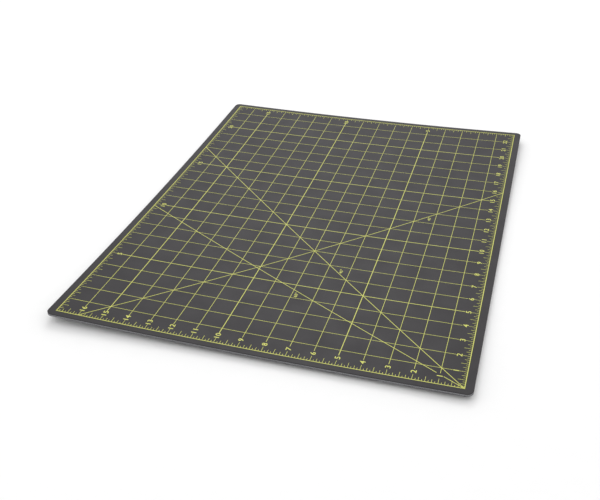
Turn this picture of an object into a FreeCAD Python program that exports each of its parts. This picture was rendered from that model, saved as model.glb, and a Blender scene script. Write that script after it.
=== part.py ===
"""Self healing cutting mat: five laminated sheets under one printed ink film.

Millimetres. X runs along the short side, Y along the long side, Z up from the surface that the mat lies on.
The origin is the middle of the underside. The printed inch scales start at the zero corner, +X -Y, and
the numerals stand upright for somebody who sits at the long +X side.
"""

import FreeCAD
import Part
import math
import os
import re
import Sketcher

from FreeCAD import Placement, Rotation, Vector

SIZES = {
    # the laminate
    "sheet_width": 450.0,
    "sheet_length": 600.0,
    "corner_radius": 7.0,
    "face_thickness": 1.0,
    "upper_core_thickness": 0.5,
    "middle_thickness": 0.4,
    "lower_core_thickness": 0.5,
    "back_thickness": 0.6,
    # the printed frame, which holds as many whole inches as fit inside the margins
    "inch": 25.4,
    "least_margin": 7.5,
    "bold_every": 5,
    # the ink
    "ink_thickness": 0.05,
    "border_line": 0.8,
    "fine_line": 0.45,
    "bold_line": 0.8,
    "angle_line": 0.7,
    "tick_line": 0.4,
    "eighth_tick": 2.9,
    "quarter_tick": 5.0,
    "half_tick": 8.0,
    # numerals, which stand between the longest ticks and the ends of the lines
    "numeral_height": 5.2,
    "numeral_width": 3.1,
    "numeral_stroke": 0.55,
    "numeral_gap": 1.0,
    "tick_clearance": 0.6,
    "line_clearance": 0.9,
    # the angle lines and where their labels stand, counted across from the zero corner
    "shallow_angle": 30.0,
    "label_scale": 0.7,
    "label_offset": 6.6,
    "square_label_station": 162.0,
    "shallow_label_station": 198.4,
    "back_label_station": 83.8,
}
DERIVED = {
    "inches_across": "floor((sheet_width - 2 * least_margin) / inch)",
    "inches_along": "floor((sheet_length - 2 * least_margin) / inch)",
    "print_width": "inches_across * inch",
    "print_length": "inches_along * inch",
    "bolds_across": "floor((inches_across - 1) / bold_every)",
    "bolds_along": "floor((inches_along - 1) / bold_every)",
    "lower_core_base": "back_thickness",
    "middle_base": "lower_core_base + lower_core_thickness",
    "upper_core_base": "middle_base + middle_thickness",
    "face_base": "upper_core_base + upper_core_thickness",
    "ink_base": "face_base + face_thickness",
    "number_run": "2 * numeral_width + numeral_gap",
    "side_inset": "half_tick + tick_clearance + numeral_height / 2",
    "end_inset": "half_tick + tick_clearance + number_run / 2",
    "side_start": "side_inset + numeral_height / 2 + line_clearance",
    "end_start": "end_inset + number_run / 2 + line_clearance",
    "diagonal": "sqrt(print_width ^ 2 + print_length ^ 2)",
}
# Single-line figures on a square from 0 to 1: each is a list of strokes, each stroke a list of points.
RING = [(0.25, 0), (0.75, 0), (1, 0.2), (1, 0.8), (0.75, 1), (0.25, 1), (0, 0.8), (0, 0.2), (0.25, 0)]
FIGURES = {
    "0": [RING],
    "1": [[(0.2, 0.78), (0.55, 1), (0.55, 0)]],
    "2": [[(0, 0.78), (0.25, 1), (0.75, 1), (1, 0.8), (1, 0.62), (0, 0), (1, 0)]],
    "3": [[(0, 1), (1, 1), (0.45, 0.6), (0.75, 0.58), (1, 0.42), (1, 0.18), (0.75, 0), (0.25, 0), (0, 0.18)]],
    "4": [[(0.75, 0), (0.75, 1), (0, 0.28), (1, 0.28)]],
    "5": [[(0.95, 1), (0.1, 1), (0.05, 0.58), (0.7, 0.6), (1, 0.42), (1, 0.2), (0.72, 0), (0.25, 0), (0, 0.15)]],
    "6": [[(0.85, 1), (0.35, 0.9), (0, 0.5), (0, 0.2), (0.25, 0), (0.75, 0), (1, 0.2), (1, 0.38),
           (0.75, 0.56), (0.25, 0.56), (0, 0.4)]],
    "7": [[(0, 1), (1, 1), (0.4, 0)]],
    "8": [[(0.3, 0.54), (0.05, 0.7), (0.05, 0.85), (0.3, 1), (0.7, 1), (0.95, 0.85), (0.95, 0.7), (0.7, 0.54),
           (0.3, 0.54), (0, 0.38), (0, 0.16), (0.3, 0), (0.7, 0), (1, 0.16), (1, 0.38), (0.7, 0.54)]],
    "9": [[(0.15, 0), (0.65, 0.1), (1, 0.5), (1, 0.8), (0.75, 1), (0.25, 1), (0, 0.8), (0, 0.62),
           (0.25, 0.44), (0.75, 0.44), (1, 0.6)]],
    "°": [[(0.1, 0.8), (0.3, 1), (0.5, 0.8), (0.3, 0.6), (0.1, 0.8)]],
}
ZERO_X = "print_width / 2"
ZERO_Y = "-print_length / 2"
NAMES = set(SIZES) | set(DERIVED)


def make_sheet(doc):
    """The spreadsheet that holds the driving sizes and those worked out from them."""
    sheet = doc.addObject("Spreadsheet::Sheet", "sizes")
    for row, (name, value) in enumerate([*SIZES.items(), *DERIVED.items()], start=1):
        sheet.set(f"A{row}", name)
        sheet.set(f"B{row}", f"={value}" if name in DERIVED else str(value))
        sheet.setAlias(f"B{row}", name)
        doc.recompute()
    return sheet


def bind(target, path, text):
    """Ties one property to an expression whose size names are cells of the sheet."""
    words = re.sub(r"[a-z_]+", lambda w: f"sizes.{w[0]}" if w[0] in NAMES else w[0], str(text))
    target.setExpression(path, words)


def place(target, x, y, z):
    """Ties an object's place to three expressions."""
    for axis, text in zip("xyz", (x, y, z)):
        bind(target, f"Placement.Base.{axis}", text)


def of_role(body, role):
    """One of a body's own origin planes or axes."""
    return next(item for item in body.Origin.OriginFeatures if item.Role == role)


def new_sketch(body, name):
    """An empty sketch on a body's own XY plane."""
    sketch = body.newObject("Sketcher::SketchObject", name)
    sketch.AttachmentSupport = [(of_role(body, "XY_Plane"), "")]
    sketch.MapMode = "FlatFace"
    return sketch


def add_rectangle(sketch, number, x, y, width, length):
    """A rectangle whose lower left corner and sides are tied to expressions."""
    first = 4 * number
    corners = [Vector(*p) for p in ((1, 1, 0), (2, 1, 0), (2, 2, 0), (1, 2, 0))]
    for i in range(4):
        sketch.addGeometry(Part.LineSegment(corners[i], corners[(i + 1) % 4]), False)
    for i in range(4):
        sketch.addConstraint(Sketcher.Constraint("Coincident", first + i, 2, first + (i + 1) % 4, 1))
        sketch.addConstraint(Sketcher.Constraint("Vertical" if i % 2 else "Horizontal", first + i))
    measures = (
        ("DistanceX", (first, 1, first, 2), width),
        ("DistanceY", (first + 1, 1, first + 1, 2), length),
        ("DistanceX", (-1, 1, first, 1), x),
        ("DistanceY", (-1, 1, first, 1), y),
    )
    for kind, ends, text in measures:
        index = sketch.addConstraint(Sketcher.Constraint(kind, *ends, 1.0))
        bind(sketch, f"Constraints[{index}]", text)


def add_pad(doc, body, name, rectangles, height):
    """Pads rectangles, each (x, y, width, length), up from the body's own XY plane."""
    sketch = new_sketch(body, f"{name}_outline")
    for number, rectangle in enumerate(rectangles):
        add_rectangle(sketch, number, *rectangle)
    pad = body.newObject("PartDesign::Pad", f"{name}_pad")
    pad.Profile = sketch
    bind(pad, "Length", height)
    body.Tip = pad
    doc.recompute()
    return pad


def add_row(doc, body, pad, axis, spacing, count, backwards=False):
    """Repeats a pad along one of the body's axes."""
    row = body.newObject("PartDesign::LinearPattern", f"{pad.Name}_row")
    row.Originals = [pad]
    row.Direction = (of_role(body, f"{axis}_Axis"), [""])
    row.Reversed = backwards
    bind(row, "Length", f"({spacing}) * ({count} - 1)")
    bind(row, "Occurrences", count)
    body.Tip = row
    doc.recompute()


def new_body(doc, name, x, y, z):
    """An empty body at its place, which may hold solids that don't touch."""
    body = doc.addObject("PartDesign::Body", name)
    body.AllowCompound = True
    place(body, x, y, z)
    return body


def ply(doc, name, base, thickness):
    """One sheet of the laminate, with rounded corners."""
    body = new_body(doc, name, "-sheet_width / 2", "-sheet_length / 2", base)
    pad = add_pad(doc, body, name, [("0", "0", "sheet_width", "sheet_length")], thickness)
    upright = [f"Edge{i}" for i, edge in enumerate(pad.Shape.Edges, start=1)
               if abs(edge.tangentAt(edge.FirstParameter).z) > 0.99]
    rounding = body.newObject("PartDesign::Fillet", f"{name}_corners")
    rounding.Base = (pad, upright)
    bind(rounding, "Radius", "corner_radius")
    body.Tip = rounding
    return body


def scale(doc, sheet, name, upright, far):
    """One side of the border with its ticks, as one comb-shaped solid.

    upright is true on the two long sides, far on the two sides away from the zero corner. The outline is
    worked out as distances along the side from the zero corner, and inwards from the border line.
    """
    half = sheet.border_line / 2
    side = sheet.print_length if upright else sheet.print_width
    start, end = (half, side - half) if upright else (-half, side + half)
    outline = [(start, half), (start, -half), (end, -half), (end, half)]
    reach = {0: sheet.half_tick, 1: sheet.eighth_tick, 2: sheet.quarter_tick, 3: sheet.eighth_tick}
    count = int(sheet.inches_along if upright else sheet.inches_across)
    for number in reversed(range(1, 8 * count)):
        middle, tip = number * sheet.inch / 8, reach[number % 4]
        low, high = middle - sheet.tick_line / 2, middle + sheet.tick_line / 2
        outline += [(high, half), (high, tip), (low, tip), (low, half)]
    right, near = sheet.print_width / 2, -sheet.print_length / 2
    if upright:
        points = [Vector(-right + d if far else right - d, near + s, 0) for s, d in outline]
    else:
        points = [Vector(right - s, -near - d if far else near + d, 0) for s, d in outline]
    face = Part.Face(Part.makePolygon([*points, points[0]]))
    feature = doc.addObject("Part::Feature", name)
    feature.Shape = face.extrude(Vector(0, 0, sheet.ink_thickness))
    feature.Placement = Placement(Vector(0, 0, sheet.ink_base), Rotation())
    return feature


def lines(doc, name, upright, width, spacing, count, gap):
    """Parallel lines right across the print; gap is how far short of the far border they stop."""
    start = "end_start" if upright else "side_start"
    side = "print_length" if upright else "print_width"
    body = new_body(doc, name, ZERO_X, ZERO_Y, "ink_base")
    length = f"{side} - {start} - {gap}"
    if upright:
        rectangle = (f"-({spacing}) - {width} / 2", start, width, length)
    else:
        rectangle = (f"-{side} + {gap}", f"({spacing}) - {width} / 2", length, width)
    pad = add_pad(doc, body, name, [rectangle], "ink_thickness")
    add_row(doc, body, pad, "X" if upright else "Y", spacing, count, upright)
    return body


def windows(doc, name, upright, count):
    """Clear boxes, for cutting, round the numerals of a far side."""
    body = new_body(doc, name, ZERO_X, ZERO_Y, "ink_base")
    spacing = "inch * bold_every"
    if upright:
        rectangle = (f"-{spacing} - inch / 2", "print_length - end_start", "inch", "end_start - half_tick")
    else:
        rectangle = ("-print_width + half_tick", f"{spacing} - inch / 2", "side_start - half_tick", "inch")
    pad = add_pad(doc, body, name, [rectangle], "ink_thickness")
    add_row(doc, body, pad, "X" if upright else "Y", spacing, count, upright)
    return body


def angle_line(doc, name, start_inches, turn):
    """A straight line from a point on the near border, turned towards +Y from -X by an angle."""
    bar = doc.addObject("Part::Box", f"{name}_bar")
    for prop, text in (("Length", "diagonal"), ("Width", "angle_line"), ("Height", "ink_thickness")):
        bind(bar, prop, text)
    bind(bar, "Placement.Rotation.Yaw", f"180 - ({turn})")
    place(
        bar,
        f"{ZERO_X} - ({start_inches}) * inch + angle_line / 2 * sin({turn})",
        f"{ZERO_Y} + angle_line / 2 * cos({turn})",
        "ink_base",
    )
    return bar


def fuse(doc, name, *shapes):
    """One object from several that touch or overlap."""
    joined = doc.addObject("Part::MultiFuse", name)
    joined.Shapes = list(shapes)
    return joined


def cut(doc, name, base, *tools):
    """What is left of base outside every tool."""
    for number, tool in enumerate(tools, start=1):
        left = doc.addObject("Part::Cut", f"{name}_{number}")
        left.Base = base
        left.Tool = tool
        base = left
    return base


def box(doc, name, x, y, width, length):
    """A box as thick as the ink."""
    block = doc.addObject("Part::Box", name)
    for prop, text in (("Length", width), ("Width", length), ("Height", "ink_thickness")):
        bind(block, prop, text)
    place(block, x, y, "ink_base")
    return block


def figure(strokes, width, height, line, thickness):
    """One figure as a solid: bars along its strokes, with round ends and corners."""
    pieces = []
    for stroke in strokes:
        points = [Vector(x * width, y * height, 0) for x, y in stroke]
        pieces += [Part.makeCylinder(line / 2, thickness, point) for point in points]
        for a, b in zip(points, points[1:]):
            bar = Part.makeBox((b - a).Length, line, thickness, Vector(0, -line / 2, 0))
            bar.Placement = Placement(a, Rotation(Vector(1, 0, 0), b - a))
            pieces.append(bar)
    return pieces[0].fuse(pieces[1:]).removeSplitter()


def lettering(doc, sheet, name, labels, size=1.0):
    """Labels, each (text, x, y), centred on their points and read along +Y with their tops towards -X."""
    width = sheet.numeral_width * size
    height = sheet.numeral_height * size
    step = width + sheet.numeral_gap * size
    stroke, thickness = sheet.numeral_stroke, sheet.ink_thickness
    used = {sign for text, x, y in labels for sign in text}
    figures = {sign: figure(FIGURES[sign], width, height, stroke, thickness) for sign in used}
    solids = []
    for text, x, y in labels:
        run = step * (len(text) - 1) + width
        for number, sign in enumerate(text):
            shape = figures[sign].copy()
            shape.rotate(Vector(0, 0, 0), Vector(0, 0, 1), 90)
            shape.translate(Vector(x + height / 2, y - run / 2 + number * step, 0))
            solids.append(shape)
    feature = doc.addObject("Part::Feature", name)
    feature.Shape = Part.makeCompound(solids)
    feature.Placement = Placement(Vector(0, 0, sheet.ink_base), Rotation())
    return feature


def numerals(doc, sheet, name, upright, far):
    """Every inch's number on a side at the zero corner, and every fifth one on a far side."""
    count = int(sheet.inches_along if upright else sheet.inches_across)
    step = int(sheet.bold_every) if far else 1
    right, near = sheet.print_width / 2, -sheet.print_length / 2
    labels = []
    for number in range(step, count, step):
        if upright:
            x = -right + sheet.side_inset if far else right - sheet.side_inset
            labels.append((str(number), x, near + number * sheet.inch))
        else:
            y = -near - sheet.end_inset if far else near + sheet.end_inset
            labels.append((str(number), right - number * sheet.inch, y))
    return lettering(doc, sheet, name, labels)


def angle_labels(doc, sheet, name):
    """The angle of each line, beside it: measured from the near side, or from the long side if shallow."""
    right, near, offset = sheet.print_width / 2, -sheet.print_length / 2, sheet.label_offset
    rise = math.tan(math.radians(sheet.shallow_angle))
    square, shallow, back = sheet.square_label_station, sheet.shallow_label_station, sheet.back_label_station
    back_reach = (sheet.inches_across - 1) * sheet.inch
    labels = [
        ("45°", right - square, near + square + offset),
        (f"{90 - sheet.shallow_angle:.0f}°", right - shallow, near + shallow * rise - offset),
        ("45°", right - back, near + back_reach - back - offset),
    ]
    return lettering(doc, sheet, name, labels, sheet.label_scale)


def build(doc):
    """Makes every sub-part and gives those that are written out, by node name."""
    sheet = make_sheet(doc)
    nodes = {
        "back_sheet": ply(doc, "back_ply", "0", "back_thickness"),
        "lower_core_sheet": ply(doc, "lower_core_ply", "lower_core_base", "lower_core_thickness"),
        "middle_sheet": ply(doc, "middle_ply", "middle_base", "middle_thickness"),
        "upper_core_sheet": ply(doc, "upper_core_ply", "upper_core_base", "upper_core_thickness"),
        "face_sheet": ply(doc, "face_ply", "face_base", "face_thickness"),
        "near_scale": scale(doc, sheet, "near_ticks", False, False),
        "right_scale": scale(doc, sheet, "right_ticks", True, False),
        "far_scale": scale(doc, sheet, "far_ticks", False, True),
        "left_scale": scale(doc, sheet, "left_ticks", True, True),
        "near_numerals": numerals(doc, sheet, "near_numbers", False, False),
        "right_numerals": numerals(doc, sheet, "right_numbers", True, False),
        "far_numerals": numerals(doc, sheet, "far_numbers", False, True),
        "left_numerals": numerals(doc, sheet, "left_numbers", True, True),
        "angle_labels": angle_labels(doc, sheet, "angle_numbers"),
    }
    bold_spacing = "inch * bold_every"
    nodes["five_inch_grid"] = fuse(
        doc,
        "bold_grid",
        lines(doc, "bold_along", True, "bold_line", bold_spacing, "bolds_across", "end_start"),
        lines(doc, "bold_across", False, "bold_line", bold_spacing, "bolds_along", "side_start"),
    )
    inside = box(
        doc,
        "inside",
        "-print_width / 2 + border_line / 2",
        "-print_length / 2 + border_line / 2",
        "print_width - border_line",
        "print_length - border_line",
    )
    first_number = box(
        doc,
        "first_number",
        f"{ZERO_X} - inch - numeral_height / 2 - line_clearance",
        f"{ZERO_Y} + half_tick",
        "numeral_height + 2 * line_clearance",
        "end_start - half_tick",
    )
    angles = {
        "square_angle": ("0", "45"),
        "shallow_line": ("0", "shallow_angle"),
        "back_angle": ("inches_across - 1", "135"),
    }
    bars = []
    for name, (start, turn) in angles.items():
        trimmed = doc.addObject("Part::Common", f"{name}_inside")
        trimmed.Base = angle_line(doc, name, start, turn)
        trimmed.Tool = inside
        bars.append(trimmed)
    scales = [nodes[f"{side}_scale"] for side in ("near", "right", "far", "left")]
    crossed = fuse(doc, "crossed_angles", *bars)
    nodes["angle_lines"] = cut(doc, "angle_print", crossed, first_number, nodes["five_inch_grid"], *scales)
    stops = [nodes["five_inch_grid"], nodes["angle_lines"]]
    nodes["inch_lines_along"] = cut(
        doc,
        "inch_along",
        lines(doc, "fine_along", True, "fine_line", "inch", "(inches_across - 1)", "half_tick"),
        windows(doc, "far_windows", True, "bolds_across"),
        *stops,
    )
    nodes["inch_lines_across"] = cut(
        doc,
        "inch_across",
        lines(doc, "fine_across", False, "fine_line", "inch", "(inches_along - 1)", "half_tick"),
        windows(doc, "left_windows", False, "bolds_along"),
        *stops,
        nodes["inch_lines_along"],
    )
    doc.recompute()
    return nodes


def check(doc, nodes):
    """Stops on any object that failed and on any sub-part without a sound shape."""
    for item in doc.Objects:
        if "Invalid" in item.State or "Error" in item.State:
            raise RuntimeError(f"{item.Name} failed: {item.State}")
    for name, item in nodes.items():
        if item.Shape.isNull() or not item.Shape.isValid() or not item.Shape.Solids:
            raise RuntimeError(f"{name} has no sound shape")


def main():
    """Builds the mat and writes one file for each sub-part."""
    doc = FreeCAD.newDocument("cutting_mat")
    nodes = build(doc)
    check(doc, nodes)
    os.makedirs("parts", exist_ok=True)
    for name, item in nodes.items():
        item.Label = name
        item.Shape.exportStep(f"parts/{name}.step")
        box = item.Shape.BoundBox
        print(name, len(item.Shape.Solids), "solids", round(item.Shape.Volume, 2), "mm3", box)


main()
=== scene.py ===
"""Self healing cutting mat: draped sheets, printed scales and a plain studio.

Metres, in the frame's own axes: X across the mat, Y along it, Z up from the bench.
"""

import math

import bmesh
import bpy
from bpy.props import FloatProperty, FloatVectorProperty, IntProperty, PointerProperty
from mathutils import Matrix, Vector


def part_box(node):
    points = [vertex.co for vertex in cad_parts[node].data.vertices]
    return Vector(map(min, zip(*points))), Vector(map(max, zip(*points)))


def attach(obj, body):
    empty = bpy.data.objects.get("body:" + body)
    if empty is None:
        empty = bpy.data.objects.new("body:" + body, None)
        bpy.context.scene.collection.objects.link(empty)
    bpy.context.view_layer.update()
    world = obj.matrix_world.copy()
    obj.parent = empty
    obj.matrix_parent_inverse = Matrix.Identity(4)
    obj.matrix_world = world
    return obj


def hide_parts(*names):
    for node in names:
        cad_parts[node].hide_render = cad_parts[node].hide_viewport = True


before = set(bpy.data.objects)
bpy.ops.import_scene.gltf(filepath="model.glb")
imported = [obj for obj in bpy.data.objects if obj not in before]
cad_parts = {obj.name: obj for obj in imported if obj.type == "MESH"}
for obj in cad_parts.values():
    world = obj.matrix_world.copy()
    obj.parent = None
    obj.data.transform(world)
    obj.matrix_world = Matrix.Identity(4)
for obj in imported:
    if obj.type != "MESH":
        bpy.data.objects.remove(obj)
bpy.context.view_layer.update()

bl_info = {
    "name": "Cutting Mat",
    "version": (1, 0, 0),
    "blender": (4, 5, 0),
    "location": "View3D > Sidebar > Cutting Mat",
    "description": "Builds a self healing cutting mat with its printed scales, and a studio for it",
    "category": "Object",
}

MM = 0.001
PLIES = ("back_sheet", "lower_core_sheet", "middle_sheet", "upper_core_sheet", "face_sheet")
SHEET_LOW, SHEET_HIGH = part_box("face_sheet")
NEAR_LOW, NEAR_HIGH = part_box("near_scale")
LEFT_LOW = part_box("left_scale")[0]
RIGHT_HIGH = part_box("right_scale")[1]
FAR_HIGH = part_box("far_scale")[1]
INCH = 25.4 * MM
# each side of the print: whether it runs along Y, and whether it is away from the zero corner
SIDES = {"near": (False, False), "right": (True, False), "far": (False, True), "left": (True, True)}
BORDER_LINE = LEFT_LOW[1] - NEAR_LOW[1]
PRINT_RIGHT = RIGHT_HIGH[0] - BORDER_LINE / 2
PRINT_LEFT = LEFT_LOW[0] + BORDER_LINE / 2
PRINT_NEAR = NEAR_LOW[1] + BORDER_LINE / 2
PRINT_FAR = FAR_HIGH[1] - BORDER_LINE / 2
ACROSS = round((PRINT_RIGHT - PRINT_LEFT) / INCH)
ALONG = round((PRINT_FAR - PRINT_NEAR) / INCH)
INK_BASE = SHEET_HIGH[2]
HALF_TICK = NEAR_HIGH[1] - PRINT_NEAR
FIGURES_LOW, FIGURES_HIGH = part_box("right_numerals")
NUMBERS_LOW, NUMBERS_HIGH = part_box("near_numerals")
SIDE_INSET = PRINT_RIGHT - (FIGURES_LOW[0] + FIGURES_HIGH[0]) / 2
END_INSET = (NUMBERS_LOW[1] + NUMBERS_HIGH[1]) / 2 - PRINT_NEAR
SIDE_START = PRINT_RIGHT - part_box("inch_lines_across")[1][0]
END_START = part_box("inch_lines_along")[0][1] - PRINT_NEAR


def length_of(name, description, default):
    """A length in metres, as a user would set it."""
    return FloatProperty(name=name, description=description, default=default, unit="LENGTH", precision=5)


def angle_of(name, description, degrees):
    """An angle given in degrees, as a user would set it."""
    return FloatProperty(
        name=name, description=description, default=math.radians(degrees), subtype="ANGLE", unit="ROTATION"
    )


def colour_of(name, description, default):
    """A linear colour, as a user would set it."""
    return FloatVectorProperty(
        name=name, description=description, default=default, subtype="COLOR", size=3, min=0.0, max=1.0
    )


class CuttingMatSheet(bpy.types.PropertyGroup):
    """How the laminate lies and what it is made of."""

    corner_radius: length_of("Corner Radius", "Radius of the cut corners", 7.0 * MM)
    edge_round: length_of("Edge Round", "Softened edge of the outer plies", 0.12 * MM)
    lift_across: length_of("Lift Across", "How far the long sides lift off the bench", 2.8 * MM)
    lift_along: length_of("Lift Along", "How far the ends lift off the bench", 4.7 * MM)
    twist: length_of("Twist", "How much further one pair of corners lifts than the other", 2.1 * MM)
    drape_cell: length_of("Drape Cell", "Spacing of the cuts that let a sheet bend", 15.0 * MM)
    face_colour: colour_of("Face", "Colour of the printed face", (0.0225, 0.020, 0.0225))
    dark_colour: colour_of("Dark Ply", "Colour of the dark plies at the cut edge", (0.035, 0.035, 0.038))
    pale_colour: colour_of("Pale Ply", "Colour of the pale plies at the cut edge", (0.27, 0.27, 0.28))
    grain: length_of("Grain", "Size of the moulded grain on the face", 0.9 * MM)


class CuttingMatPrint(bpy.types.PropertyGroup):
    """The printed scales and lines."""

    ink_colour: colour_of("Ink", "Colour of the screen print", (0.64, 0.655, 0.125))
    ink_height: length_of("Ink Height", "How far the ink stands off the face", 0.05 * MM)
    pass_step: length_of("Pass Step", "How much lower each later pass of ink is", 0.004 * MM)
    fine_line: length_of("Fine Line", "Width of the one inch lines", 0.5 * MM)
    bold_line: length_of("Bold Line", "Width of the five inch lines", 0.8 * MM)
    angle_line: length_of("Angle Line", "Width of the angle lines", 0.7 * MM)
    tick_line: length_of("Tick Line", "Width of the ruler ticks", 0.4 * MM)
    eighth_tick: length_of("Eighth Tick", "Length of the eighth inch ticks", 2.9 * MM)
    quarter_tick: length_of("Quarter Tick", "Length of the quarter inch ticks", 5.0 * MM)
    half_tick: length_of("Half Tick", "Length of the half inch and inch ticks", HALF_TICK)
    numeral_height: length_of("Numeral Height", "Height of the numerals", FIGURES_HIGH[0] - FIGURES_LOW[0])
    numeral_stretch: FloatProperty(
        name="Numeral Stretch", description="Width of a figure over its usual", default=1.22
    )
    label_height: length_of("Label Height", "Height of the angle labels", 3.9 * MM)
    label_offset: length_of("Label Offset", "From an angle line to its label", 6.6 * MM)
    square_label: length_of("Square Label", "From the zero corner across to the 45 degree label", 6.38 * INCH)
    shallow_label: length_of("Shallow Label", "From the zero corner across to the shallow label", 7.81 * INCH)
    back_label: length_of("Back Label", "From the zero corner across to the back line's label", 3.30 * INCH)
    side_start: length_of("Side Start", "Where lines start beside the long sides' numerals", SIDE_START)
    end_start: length_of("End Start", "Where lines start beside the short sides' numerals", END_START)
    number_clearance: length_of("Number Clearance", "Gap in an angle line round a numeral", 1.0 * MM)
    bold_every: IntProperty(name="Bold Every", description="Inches between the bold lines", default=5, min=2)
    shallow_angle: angle_of("Shallow Angle", "Angle of the shallow line from the near side", 30.0)


class CuttingMatStage(bpy.types.PropertyGroup):
    """The floor, the light and the camera."""

    floor_colour: colour_of("Floor", "Colour of the studio floor", (0.92, 0.92, 0.92))
    floor_reach: length_of("Floor Reach", "Half the side of the floor", 30.0)
    camera_place: FloatVectorProperty(
        name="Camera Place", description="Where the camera stands", default=(0.2427, -0.9384, 0.5581),
        subtype="TRANSLATION", unit="LENGTH", size=3,
    )
    azimuth: angle_of("Azimuth", "Turn of the view from the long axis", 16.29)
    elevation: angle_of("Elevation", "How steeply the view looks down", 32.16)
    roll: angle_of("Roll", "Turn of the camera about its view", -0.1)
    lens: FloatProperty(name="Lens", description="Focal length in millimetres", default=52.25, unit="CAMERA")
    sky_strength: FloatProperty(name="Sky", description="Strength of the even white light", default=0.98)
    softbox_watts: FloatProperty(
        name="Softbox", description="Power of the softbox beyond the mat", default=10.5, unit="POWER"
    )
    softbox_place: FloatVectorProperty(
        name="Softbox Place", description="Where the softbox hangs", default=(-0.42, 1.55, 1.75),
        subtype="TRANSLATION", unit="LENGTH", size=3,
    )
    softbox_size: length_of("Softbox Size", "Side of the softbox", 1.1)
    fill_watts: FloatProperty(name="Fill", description="Power of the fill light", default=2.0, unit="POWER")
    fill_place: FloatVectorProperty(
        name="Fill Place", description="Where the fill light hangs", default=(-1.7, -1.0, 1.7),
        subtype="TRANSLATION", unit="LENGTH", size=3,
    )
    fill_size: length_of("Fill Size", "Side of the fill light", 1.6)


# Materials


class NodeWriter:
    """Short calls for writing a node tree."""

    def __init__(self, tree):
        self.tree = tree

    def node(self, kind, **settings):
        """A new node with its settings; inputs are given by socket name or number."""
        node = self.tree.nodes.new(kind)
        inputs = settings.pop("inputs", {})
        for name, value in settings.items():
            setattr(node, name, value)
        for socket, value in inputs.items():
            if isinstance(value, bpy.types.NodeSocket):
                self.tree.links.new(value, node.inputs[socket])
            else:
                node.inputs[socket].default_value = value
        return node

    def math(self, operation, a, b=0.0):
        """The result of one sum."""
        return self.node("ShaderNodeMath", operation=operation, inputs={0: a, 1: b}).outputs[0]

    def noise(self, where, scale, detail=3.0, roughness=0.55):
        """Noise of one scale per metre, from 0 to 1."""
        inputs = {"Vector": where, "Scale": scale, "Detail": detail, "Roughness": roughness}
        return self.node("ShaderNodeTexNoise", inputs=inputs).outputs["Fac"]

    def spread(self, value, low, high):
        """A value from 0.3 to 0.7 spread over a range."""
        inputs = {"Value": value, 1: 0.3, 2: 0.7, 3: low, 4: high}
        return self.node("ShaderNodeMapRange", inputs=inputs).outputs[0]

    def shade(self, colour, amount):
        """A colour made lighter or darker by an amount about 1."""
        node = self.node("ShaderNodeVectorMath", operation="SCALE", inputs={0: colour, "Scale": amount})
        return node.outputs[0]


def new_material(name):
    """An empty node material with its shader, and where its patterns read their place."""
    material = bpy.data.materials.new(name)
    if material.name != name:
        raise RuntimeError(f"there is already a material called {name}")
    material.use_nodes = True
    material.node_tree.nodes.clear()
    write = NodeWriter(material.node_tree)
    shader = write.node("ShaderNodeBsdfPrincipled")
    output = write.node("ShaderNodeOutputMaterial")
    write.tree.links.new(shader.outputs["BSDF"], output.inputs["Surface"])
    where = write.node("ShaderNodeTexCoord").outputs["Object"]
    return material, write, shader, where


def finish_material(write, shader, colour, roughness, height, strength, distance):
    """Links colour, roughness and bump to a shader."""
    write.tree.links.new(colour, shader.inputs["Base Color"])
    write.tree.links.new(roughness, shader.inputs["Roughness"])
    inputs = {"Strength": strength, "Distance": distance, "Height": height}
    bump = write.node("ShaderNodeBump", inputs=inputs)
    write.tree.links.new(bump.outputs["Normal"], shader.inputs["Normal"])


def vinyl_material(name, colour, grain, scuffs=0.0):
    """Matte vinyl: a fine moulded grain over slow cloudy shifts of tone, with faint healed cuts."""
    material, write, shader, where = new_material(name)
    pebble = write.noise(where, 1.0 / grain, detail=2.0)
    speck = write.noise(where, 2.6 / grain, detail=1.0)
    cloud = write.noise(where, 9.0, detail=4.0)
    tone = write.math("MULTIPLY", write.spread(cloud, 0.955, 1.045), write.spread(pebble, 0.93, 1.07))
    tone = write.math("MULTIPLY", tone, write.spread(speck, 0.94, 1.06))
    height = write.math("ADD", pebble, write.math("MULTIPLY", speck, 0.5))
    if scuffs:
        cuts = healed_cuts(write, where)
        tone = write.math("ADD", tone, write.math("MULTIPLY", cuts, scuffs))
        height = write.math("SUBTRACT", height, write.math("MULTIPLY", cuts, 0.6))
    roughness = write.spread(write.noise(where, 40.0), 0.44, 0.52)
    finish_material(write, shader, write.shade((*colour,), tone), roughness, height, 0.35, 0.06 * MM)
    shader.inputs["Specular IOR Level"].default_value = 0.25
    return material


def healed_cuts(write, where):
    """Faint straight hairlines in a few directions, where a blade has been drawn and the face has closed."""
    total = None
    for turn, pitch in ((0.35, 3.1), (1.25, 2.3), (2.45, 2.7)):
        turned = write.node("ShaderNodeMapping", inputs={"Vector": where, "Rotation": (0.0, 0.0, turn)})
        split = write.node("ShaderNodeSeparateXYZ", inputs={0: turned.outputs[0]})
        wander = write.math("MULTIPLY", write.noise(turned.outputs[0], 2.0, detail=0.0), 0.02)
        along = write.math("ADD", split.outputs[0], wander)
        wave = write.math("FRACT", write.math("MULTIPLY", along, pitch * 3.0))
        line = write.math("LESS_THAN", write.math("ABSOLUTE", write.math("SUBTRACT", wave, 0.5)), 0.0011)
        patch = write.noise(turned.outputs[0], 5.0, detail=0.0)
        shown = write.math("MULTIPLY", line, write.math("GREATER_THAN", patch, 0.62))
        total = shown if total is None else write.math("MAXIMUM", total, shown)
    return total


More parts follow.
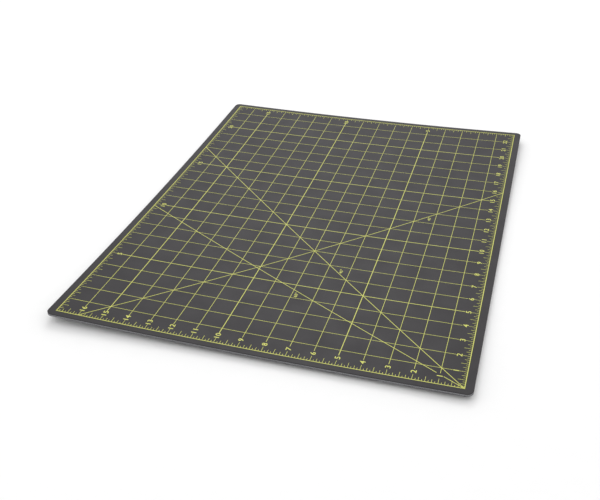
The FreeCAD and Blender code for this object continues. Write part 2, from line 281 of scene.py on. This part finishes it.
def ink_material(name, colour):
    """Screen print: slightly uneven cover over the grain, with a soft sheen."""
    material, write, shader, where = new_material(name)
    cover = write.noise(where, 900.0, detail=2.0)
    patch = write.noise(where, 14.0, detail=3.0)
    tone = write.math("MULTIPLY", write.spread(cover, 0.88, 1.06), write.spread(patch, 0.94, 1.04))
    roughness = write.spread(cover, 0.42, 0.55)
    finish_material(write, shader, write.shade((*colour,), tone), roughness, cover, 0.3, 0.03 * MM)
    shader.inputs["Specular IOR Level"].default_value = 0.4
    return material


def floor_material(name, colour):
    """A pale sweep with the least tooth."""
    material, write, shader, where = new_material(name)
    tooth = write.noise(where, 60.0)
    tone = write.spread(tooth, 0.995, 1.005)
    roughness = write.spread(tooth, 0.8, 0.9)
    finish_material(write, shader, write.shade((*colour,), tone), roughness, tooth, 0.02, 0.1 * MM)
    return material


# Mesh helpers


def lie(x, y):
    """How far the sheet stands off the bench at a place: a shallow bowl with some twist."""
    sheet = bpy.context.scene.mat_sheet
    a, b = x / SHEET_HIGH[0], y / SHEET_HIGH[1]
    return sheet.lift_across * a * a + sheet.twist * a * b + sheet.lift_along * b * b


def drape(mesh):
    """Lifts a flat mesh onto the lie of the sheet."""
    for vertex in mesh.vertices:
        vertex.co.z += lie(vertex.co.x, vertex.co.y)


def slice_mesh(shape, cell):
    """Cuts a shape across both ways so that it can bend."""
    for axis in (0, 1):
        low = min(v.co[axis] for v in shape.verts)
        high = max(v.co[axis] for v in shape.verts)
        count = max(1, round((high - low) / cell))
        normal = Vector((1 - axis, axis, 0))
        for number in range(1, count):
            where = Vector((0, 0, 0))
            where[axis] = low + (high - low) * number / count
            geometry = shape.verts[:] + shape.edges[:] + shape.faces[:]
            bmesh.ops.bisect_plane(shape, geom=geometry, plane_co=where, plane_no=normal, dist=1e-7)


def new_piece(name, mesh, material, slot_name, *nodes):
    """Puts a finished mesh in the scene as a piece that stands for CAD nodes."""
    mesh.name = name
    mesh.materials.clear()
    mesh.materials.append(material)
    piece = bpy.data.objects.new(name, mesh)
    bpy.context.scene.collection.objects.link(piece)
    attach(piece, "root")
    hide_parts(*nodes)
    return piece


def material_named(name):
    """A material made earlier; raises if it isn't there."""
    if name not in bpy.data.materials:
        raise RuntimeError(f"the material {name} has not been made")
    return bpy.data.materials[name]


def joined(name, meshes):
    """One mesh from several."""
    shape = bmesh.new()
    for mesh in meshes:
        shape.from_mesh(mesh)
        bpy.data.meshes.remove(mesh)
    mesh = bpy.data.meshes.new(name)
    shape.to_mesh(mesh)
    shape.free()
    return mesh


def rounded_outline(low, high, radius, steps=12):
    """The corners' arcs of a rounded rectangle, in order."""
    points = []
    corners = ((high[0], high[1], 0), (low[0], high[1], 1), (low[0], low[1], 2), (high[0], low[1], 3))
    for x, y, quarter in corners:
        middle = Vector((x - math.copysign(radius, x), y - math.copysign(radius, y), 0))
        for step in range(steps + 1):
            angle = math.pi / 2 * (quarter + step / steps)
            points.append(middle + radius * Vector((math.cos(angle), math.sin(angle), 0)))
    return points


def ply_mesh(node, radius, cell, edge_round, rounded):
    """One ply, cut to bend, with its outer edge softened where rounded says: -1 below, 1 above, 0 neither."""
    low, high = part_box(node)
    shape = bmesh.new()
    small = edge_round * 0.3
    layers = [(0.0, low[2]), (0.0, high[2])]
    if rounded > 0:
        layers[1:] = [(0.0, high[2] - edge_round), (small, high[2] - small), (edge_round, high[2])]
    if rounded < 0:
        layers[:1] = [(edge_round, low[2]), (small, low[2] + small), (0.0, low[2] + edge_round)]
    rings = []
    for inset, height in layers:
        inner = [low[0] + inset, low[1] + inset], [high[0] - inset, high[1] - inset]
        points = rounded_outline(*inner, radius - inset)
        rings.append([shape.verts.new((p.x, p.y, height)) for p in points])
    shape.faces.new(list(reversed(rings[0])))
    for below, above in zip(rings, rings[1:]):
        for i in range(len(below)):
            j = (i + 1) % len(below)
            shape.faces.new((below[i], below[j], above[j], above[i]))
    shape.faces.new(rings[-1])
    slice_mesh(shape, cell)
    mesh = bpy.data.meshes.new(node)
    shape.to_mesh(mesh)
    shape.free()
    drape(mesh)
    return mesh


# Printed bars


def bar_row_tree(name):
    """A node tree that repeats a bar in a row: start, step, count and the bar's own size are its inputs."""
    tree = bpy.data.node_groups.new(name, "GeometryNodeTree")
    wanted = (
        ("Count", "NodeSocketInt"),
        ("Start", "NodeSocketVector"),
        ("Step", "NodeSocketVector"),
        ("Size", "NodeSocketVector"),
        ("Cuts X", "NodeSocketInt"),
        ("Cuts Y", "NodeSocketInt"),
        ("Material", "NodeSocketMaterial"),
    )
    sockets = {}
    for label, kind in wanted:
        sockets[label] = tree.interface.new_socket(name=label, in_out="INPUT", socket_type=kind).identifier
    tree.interface.new_socket(name="Geometry", in_out="OUTPUT", socket_type="NodeSocketGeometry")
    write = NodeWriter(tree)
    given = write.node("NodeGroupInput").outputs
    line_inputs = {"Count": given["Count"], "Start Location": given["Start"], "Offset": given["Step"]}
    line = write.node("GeometryNodeMeshLine", mode="OFFSET", inputs=line_inputs)
    bar_inputs = {"Size": given["Size"], "Vertices X": given["Cuts X"], "Vertices Y": given["Cuts Y"]}
    bar = write.node("GeometryNodeMeshCube", inputs=bar_inputs)
    row_inputs = {"Points": line.outputs[0], "Instance": bar.outputs[0]}
    row = write.node("GeometryNodeInstanceOnPoints", inputs=row_inputs)
    real = write.node("GeometryNodeRealizeInstances", inputs={0: row.outputs[0]})
    ink_inputs = {"Geometry": real.outputs[0], "Material": given["Material"]}
    inked = write.node("GeometryNodeSetMaterial", inputs=ink_inputs)
    write.node("NodeGroupOutput", inputs={0: inked.outputs[0]})
    return tree, sockets


def bar_row(start, step, count, size, lift):
    """The mesh of a row of bars whose middles start at a place on the face and step across it."""
    settings = bpy.context.scene.mat_print
    tree, sockets = bar_row_tree("Printed Bars")
    holder = bpy.data.objects.new("printed_bars", bpy.data.meshes.new("printed_bars"))
    bpy.context.scene.collection.objects.link(holder)
    modifier = holder.modifiers.new("Printed Bars", "NODES")
    modifier.node_group = tree
    height = settings.ink_height - lift * settings.pass_step
    cell = bpy.context.scene.mat_sheet.drape_cell
    values = {
        "Count": count,
        "Start": (start[0], start[1], INK_BASE + height / 2),
        "Step": (step[0], step[1], 0.0),
        "Size": (size[0], size[1], height),
        "Cuts X": 2 + int(size[0] / cell),
        "Cuts Y": 2 + int(size[1] / cell),
        "Material": material_named("printed_ink"),
    }
    for label, value in values.items():
        modifier[sockets[label]] = value
    depsgraph = bpy.context.evaluated_depsgraph_get()
    mesh = bpy.data.meshes.new_from_object(holder.evaluated_get(depsgraph))
    holder.modifiers.remove(modifier)
    bpy.data.objects.remove(holder)
    bpy.data.node_groups.remove(tree)
    if not mesh.vertices:
        raise RuntimeError("a row of printed bars came out empty")
    return mesh


def side_place(upright, far, along, inward):
    """A place by its distance along a side from the zero corner, and inwards from the border."""
    if upright:
        return (PRINT_LEFT + inward if far else PRINT_RIGHT - inward, PRINT_NEAR + along)
    return (PRINT_RIGHT - along, PRINT_FAR - inward if far else PRINT_NEAR + inward)


def side_scale(upright, far):
    """One side's border line and ticks, as one mesh."""
    settings = bpy.context.scene.mat_print
    count = ALONG if upright else ACROSS
    side = count * INCH

    def row(first, pitch, number, low, high, width, lift):
        """Bars across the side from low to high, first and pitch being counted along it."""
        start = side_place(upright, far, first, (low + high) / 2)
        second = side_place(upright, far, first + pitch, (low + high) / 2)
        size = (high - low, width) if upright else (width, high - low)
        return bar_row(start, (second[0] - start[0], second[1] - start[1]), number, size, lift)

    half = BORDER_LINE / 2
    reach = side - BORDER_LINE if upright else side + BORDER_LINE
    tick = settings.tick_line
    meshes = [
        row(side / 2, 0.0, 1, -half, half, reach, 0),
        row(INCH / 8, INCH / 4, 4 * count, half, settings.eighth_tick, tick, 0),
        row(INCH / 4, INCH / 2, 2 * count, half, settings.quarter_tick, tick, 0),
        row(INCH / 2, INCH / 2, 2 * count - 1, half, settings.half_tick, tick, 0),
    ]
    return joined("side", meshes)


def line_field(upright, first, pitch, number, width, near_gap, far_gap, lift):
    """Parallel lines, first and pitch from the zero corner, that start and stop short of the borders."""
    side = (ALONG if upright else ACROSS) * INCH
    reach = side - near_gap - far_gap
    middle = near_gap + reach / 2
    if upright:
        start, step, size = (PRINT_RIGHT - first, PRINT_NEAR + middle), (-pitch, 0.0), (width, reach)
    else:
        start, step, size = (PRINT_RIGHT - middle, PRINT_NEAR + first), (0.0, pitch), (reach, width)
    return bar_row(start, step, number, size, lift)


def angled_bar(start, turn, width, lift, gaps=()):
    """A bar from a point on the near border, turned from the near side towards the far one, up to the border.

    gaps are stretches of X, each (low, high), where the bar is left out.
    """
    settings = bpy.context.scene.mat_print
    cell = bpy.context.scene.mat_sheet.drape_cell
    height = settings.ink_height - lift * settings.pass_step
    reach = math.hypot(ACROSS, ALONG) * INCH
    shape = bmesh.new()
    cuts = int(reach / cell)
    rings = []
    for number in range(cuts + 1):
        along = reach * (2 * number / cuts - 1)
        corners = ((-width / 2, 0), (width / 2, 0), (width / 2, height), (-width / 2, height))
        rings.append([shape.verts.new((along, *corner)) for corner in corners])
    for a, b in zip(rings, rings[1:]):
        for i in range(4):
            shape.faces.new((a[i], b[i], b[(i + 1) % 4], a[(i + 1) % 4]))
    shape.faces.new(rings[0])
    shape.faces.new(list(reversed(rings[-1])))
    place = Matrix.Translation((start[0], start[1], INK_BASE)) @ Matrix.Rotation(math.pi - turn, 4, "Z")
    bmesh.ops.transform(shape, matrix=place, verts=shape.verts)
    half = BORDER_LINE / 2
    walls = (
        ((PRINT_LEFT + half, 0, 0), (-1, 0, 0)),
        ((PRINT_RIGHT - half, 0, 0), (1, 0, 0)),
        ((0, PRINT_NEAR + half, 0), (0, -1, 0)),
        ((0, PRINT_FAR - half, 0), (0, 1, 0)),
    )
    for where, normal in walls:
        trim(shape, where, normal)
    meshes = []
    for low, high in gaps:
        beyond = shape.copy()
        trim(beyond, (low, 0, 0), (1, 0, 0))
        meshes.append(closed_mesh(beyond))
        trim(shape, (high, 0, 0), (-1, 0, 0))
    meshes.append(closed_mesh(shape))
    return joined("angled_bar", meshes)


def closed_mesh(shape):
    """A mesh of a closed shape with its faces turned outwards."""
    bmesh.ops.recalc_face_normals(shape, faces=shape.faces)
    mesh = bpy.data.meshes.new("closed")
    shape.to_mesh(mesh)
    shape.free()
    return mesh


def trim(shape, where, normal):
    """Cuts away what is beyond a plane and closes the cut."""
    geometry = shape.verts[:] + shape.edges[:] + shape.faces[:]
    result = bmesh.ops.bisect_plane(
        shape, geom=geometry, plane_co=where, plane_no=normal, dist=1e-8, clear_outer=True
    )
    edges = [item for item in result["geom_cut"] if isinstance(item, bmesh.types.BMEdge)]
    if edges:
        bmesh.ops.contextual_create(shape, geom=edges)


def lettering(labels, height, stretch):
    """Generic figures as one mesh; each label is (text, x, y), read along +Y with its top towards -X."""
    ink_height = bpy.context.scene.mat_print.ink_height
    meshes = []
    for text, x, y in labels:
        curve = bpy.data.curves.new("figure", "FONT")
        curve.body = text
        curve.extrude = 0.1
        curve.resolution_u = 4
        curve.space_character = 1.08
        curve.offset = 0.012
        holder = bpy.data.objects.new("figure", curve)
        bpy.context.scene.collection.objects.link(holder)
        depsgraph = bpy.context.evaluated_depsgraph_get()
        mesh = bpy.data.meshes.new_from_object(holder.evaluated_get(depsgraph))
        bpy.data.objects.remove(holder)
        bpy.data.curves.remove(curve)
        shape = bmesh.new()
        shape.from_mesh(mesh)
        bmesh.ops.remove_doubles(shape, verts=shape.verts, dist=1e-5)
        lows = [min(v.co[axis] for v in shape.verts) for axis in (0, 1)]
        highs = [max(v.co[axis] for v in shape.verts) for axis in (0, 1)]
        size = height / (highs[1] - lows[1])
        turn = Matrix.Rotation(math.pi / 2, 4, "Z")
        for vertex in shape.verts:
            across = (vertex.co.x - (lows[0] + highs[0]) / 2) * size * stretch
            upward = (vertex.co.y - (lows[1] + highs[1]) / 2) * size
            above = ink_height if vertex.co.z > 0 else 0.0
            vertex.co = turn @ Vector((across, upward, 0)) + Vector((x, y, INK_BASE + above))
        bmesh.ops.recalc_face_normals(shape, faces=shape.faces)
        shape.to_mesh(mesh)
        shape.free()
        meshes.append(mesh)
    return joined("lettering", meshes)


def side_numerals(upright, far):
    """The numerals of a side: every inch from the zero corner, or every bold line on a far side."""
    settings = bpy.context.scene.mat_print
    step = settings.bold_every if far else 1
    numbers = range(step, ALONG if upright else ACROSS, step)
    inset = SIDE_INSET if upright else END_INSET
    labels = [(str(n), *side_place(upright, far, n * INCH, inset)) for n in numbers]
    return lettering(labels, settings.numeral_height, settings.numeral_stretch)


# Operators


class CUTTINGMAT_OT_materials(bpy.types.Operator):
    """Makes the vinyl, ink and floor materials"""

    bl_idname = "cuttingmat.materials"
    bl_label = "Make Materials"

    def execute(self, context):
        sheet = context.scene.mat_sheet
        vinyl_material("moulded_face_vinyl", sheet.face_colour, sheet.grain, scuffs=0.10)
        vinyl_material("moulded_dark_vinyl", sheet.dark_colour, sheet.grain)
        vinyl_material("moulded_pale_vinyl", sheet.pale_colour, sheet.grain)
        ink_material("printed_ink", context.scene.mat_print.ink_colour)
        floor_material("studio_floor", context.scene.mat_stage.floor_colour)
        return {"FINISHED"}


class CUTTINGMAT_OT_sheets(bpy.types.Operator):
    """Lays the five plies of the laminate on the bench, bent as the real sheet lies"""

    bl_idname = "cuttingmat.sheets"
    bl_label = "Lay Sheets"

    def execute(self, context):
        sheet = context.scene.mat_sheet
        pale = "pale_vinyl"
        finish = {"face_sheet": "face_vinyl", "upper_core_sheet": pale, "lower_core_sheet": pale}
        for node in PLIES:
            rounded = {"face_sheet": 1, "back_sheet": -1}.get(node, 0)
            mesh = ply_mesh(node, sheet.corner_radius, sheet.drape_cell, sheet.edge_round, rounded)
            vinyl = finish.get(node, "dark_vinyl")
            new_piece(f"{node}_lying", mesh, material_named(f"moulded_{vinyl}"), vinyl, node)
        return {"FINISHED"}


class CUTTINGMAT_OT_scales(bpy.types.Operator):
    """Prints the border and the ruler ticks on all four sides"""

    bl_idname = "cuttingmat.scales"
    bl_label = "Print Scales"

    def execute(self, context):
        for side, (upright, far) in SIDES.items():
            mesh = side_scale(upright, far)
            drape(mesh)
            new_piece(f"{side}_ruler", mesh, material_named("printed_ink"), "ink", f"{side}_scale")
        return {"FINISHED"}


class CUTTINGMAT_OT_numerals(bpy.types.Operator):
    """Prints the numerals on all four sides"""

    bl_idname = "cuttingmat.numerals"
    bl_label = "Print Numerals"

    def execute(self, context):
        for side, (upright, far) in SIDES.items():
            mesh = side_numerals(upright, far)
            drape(mesh)
            new_piece(f"{side}_figures", mesh, material_named("printed_ink"), "ink", f"{side}_numerals")
        return {"FINISHED"}


class CUTTINGMAT_OT_grid(bpy.types.Operator):
    """Prints the one inch lines and the five inch lines"""

    bl_idname = "cuttingmat.grid"
    bl_label = "Print Grid"

    def execute(self, context):
        settings = context.scene.mat_print
        every = settings.bold_every
        starts = {True: settings.end_start, False: settings.side_start}
        for upright, node in ((True, "inch_lines_along"), (False, "inch_lines_across")):
            count = ACROSS if upright else ALONG
            meshes = []
            for first in range(1, count, every):
                number = min(every - 1, count - first)
                gaps = (starts[upright], settings.half_tick)
                width = settings.fine_line
                meshes.append(line_field(upright, first * INCH, INCH, number, width, *gaps, 1 + upright))
            mesh = joined(node, meshes)
            drape(mesh)
            new_piece(f"{node}_print", mesh, material_named("printed_ink"), "ink", node)
        bold = []
        for upright, count in ((True, (ACROSS - 1) // every), (False, (ALONG - 1) // every)):
            pitch, start, width = every * INCH, starts[upright], settings.bold_line
            bold.append(line_field(upright, pitch, pitch, count, width, start, start, 3 + upright))
        mesh = joined("bold", bold)
        drape(mesh)
        new_piece("five_inch_print", mesh, material_named("printed_ink"), "ink", "five_inch_grid")
        return {"FINISHED"}


class CUTTINGMAT_OT_angles(bpy.types.Operator):
    """Prints the angle lines and their labels"""

    bl_idname = "cuttingmat.angles"
    bl_label = "Print Angle Lines"

    def execute(self, context):
        settings = context.scene.mat_print
        zero = (PRINT_RIGHT, PRINT_NEAR)
        back = (PRINT_RIGHT - (ACROSS - 1) * INCH, PRINT_NEAR)
        shallow = settings.shallow_angle
        quarter = math.pi / 4
        first = PRINT_RIGHT - INCH
        clear = settings.numeral_height / 2 + settings.number_clearance
        meshes = [
            angled_bar(zero, quarter, settings.angle_line, 5),
            angled_bar(zero, shallow, settings.angle_line, 6, [(first - clear, first + clear)]),
            angled_bar(back, 3 * quarter, settings.angle_line, 7),
        ]
        mesh = joined("angles", meshes)
        drape(mesh)
        new_piece("angle_print", mesh, material_named("printed_ink"), "ink", "angle_lines")
        offset, reach = settings.label_offset, (ACROSS - 1) * INCH
        shallow_rise = settings.shallow_label * math.tan(shallow)
        labels = [
            self.label(45, settings.square_label, settings.square_label + offset),
            self.label(90 - math.degrees(shallow), settings.shallow_label, shallow_rise - offset),
            self.label(45, settings.back_label, reach - settings.back_label - offset),
        ]
        mesh = lettering(labels, settings.label_height, settings.numeral_stretch)
        drape(mesh)
        new_piece("angle_figures", mesh, material_named("printed_ink"), "ink", "angle_labels")
        return {"FINISHED"}

    @staticmethod
    def label(degrees, across, along):
        """An angle's label, placed by its distances from the zero corner."""
        return f"{degrees:.0f}°", PRINT_RIGHT - across, PRINT_NEAR + along


class CUTTINGMAT_OT_stage(bpy.types.Operator):
    """Sets out the pale floor, the soft studio light and the camera"""

    bl_idname = "cuttingmat.stage"
    bl_label = "Set Stage"

    def execute(self, context):
        stage = context.scene.mat_stage
        shape = bmesh.new()
        bmesh.ops.create_grid(shape, x_segments=4, y_segments=4, size=stage.floor_reach)
        mesh = bpy.data.meshes.new("studio_floor")
        shape.to_mesh(mesh)
        shape.free()
        mesh.materials.append(material_named("studio_floor"))
        floor = bpy.data.objects.new("studio_floor", mesh)
        context.scene.collection.objects.link(floor)
        self.light(context, "softbox", stage.softbox_watts, stage.softbox_place, stage.softbox_size)
        self.light(context, "fill", stage.fill_watts, stage.fill_place, stage.fill_size)
        world = bpy.data.worlds.new("studio_sky")
        world.use_nodes = True
        background = world.node_tree.nodes["Background"]
        background.inputs["Color"].default_value = (1.0, 1.0, 1.0, 1.0)
        background.inputs["Strength"].default_value = stage.sky_strength
        context.scene.world = world
        context.scene.view_settings.view_transform = "Standard"
        lens = bpy.data.cameras.new("studio_camera")
        lens.lens = stage.lens
        lens.sensor_width = 36.0
        lens.clip_start = 0.05
        camera = bpy.data.objects.new("studio_camera", lens)
        turn = Matrix.Rotation(stage.azimuth, 4, "Z") @ Matrix.Rotation(math.pi / 2 - stage.elevation, 4, "X")
        turn = turn @ Matrix.Rotation(stage.roll, 4, "Z")
        camera.matrix_world = Matrix.Translation(stage.camera_place) @ turn
        context.scene.collection.objects.link(camera)
        context.scene.camera = camera
        return {"FINISHED"}

    @staticmethod
    def light(context, name, watts, place, size):
        """A square area light that points at the middle of the mat."""
        data = bpy.data.lights.new(name, "AREA")
        data.energy = watts
        data.size = size
        lamp = bpy.data.objects.new(name, data)
        lamp.location = place
        lamp.rotation_euler = (-Vector(place)).to_track_quat("-Z", "Y").to_euler()
        context.scene.collection.objects.link(lamp)


class CUTTINGMAT_PT_panel(bpy.types.Panel):
    """The mat's settings and steps"""

    bl_idname = "CUTTINGMAT_PT_panel"
    bl_label = "Cutting Mat"
    bl_space_type = "VIEW_3D"
    bl_region_type = "UI"
    bl_category = "Cutting Mat"

    def draw(self, context):
        for name, (group, _) in GROUPS.items():
            box = self.layout.box()
            for setting in group.__annotations__:
                box.prop(getattr(context.scene, name), setting)
        for step in STEPS:
            self.layout.operator(step.bl_idname)


GROUPS = {
    "mat_sheet": (CuttingMatSheet, "the laminate"),
    "mat_print": (CuttingMatPrint, "the print"),
    "mat_stage": (CuttingMatStage, "the studio"),
}
STEPS = (
    CUTTINGMAT_OT_materials,
    CUTTINGMAT_OT_stage,
    CUTTINGMAT_OT_sheets,
    CUTTINGMAT_OT_scales,
    CUTTINGMAT_OT_numerals,
    CUTTINGMAT_OT_grid,
    CUTTINGMAT_OT_angles,
)


def register():
    """Registers the settings, the steps and the panel."""
    for name, (group, about) in GROUPS.items():
        bpy.utils.register_class(group)
        settings = PointerProperty(type=group, name=name, description=f"Settings for {about}")
        setattr(bpy.types.Scene, name, settings)
    for step in (*STEPS, CUTTINGMAT_PT_panel):
        bpy.utils.register_class(step)


def unregister():
    """Takes away what register added."""
    for step in reversed((*STEPS, CUTTINGMAT_PT_panel)):
        bpy.utils.unregister_class(step)
    for name, (group, _) in GROUPS.items():
        delattr(bpy.types.Scene, name)
        bpy.utils.unregister_class(group)


def main():
    """Runs every step in order."""
    register()
    for step in STEPS:
        category, name = step.bl_idname.split(".")
        getattr(getattr(bpy.ops, category), name)()


if __name__ == "__main__":
    main()
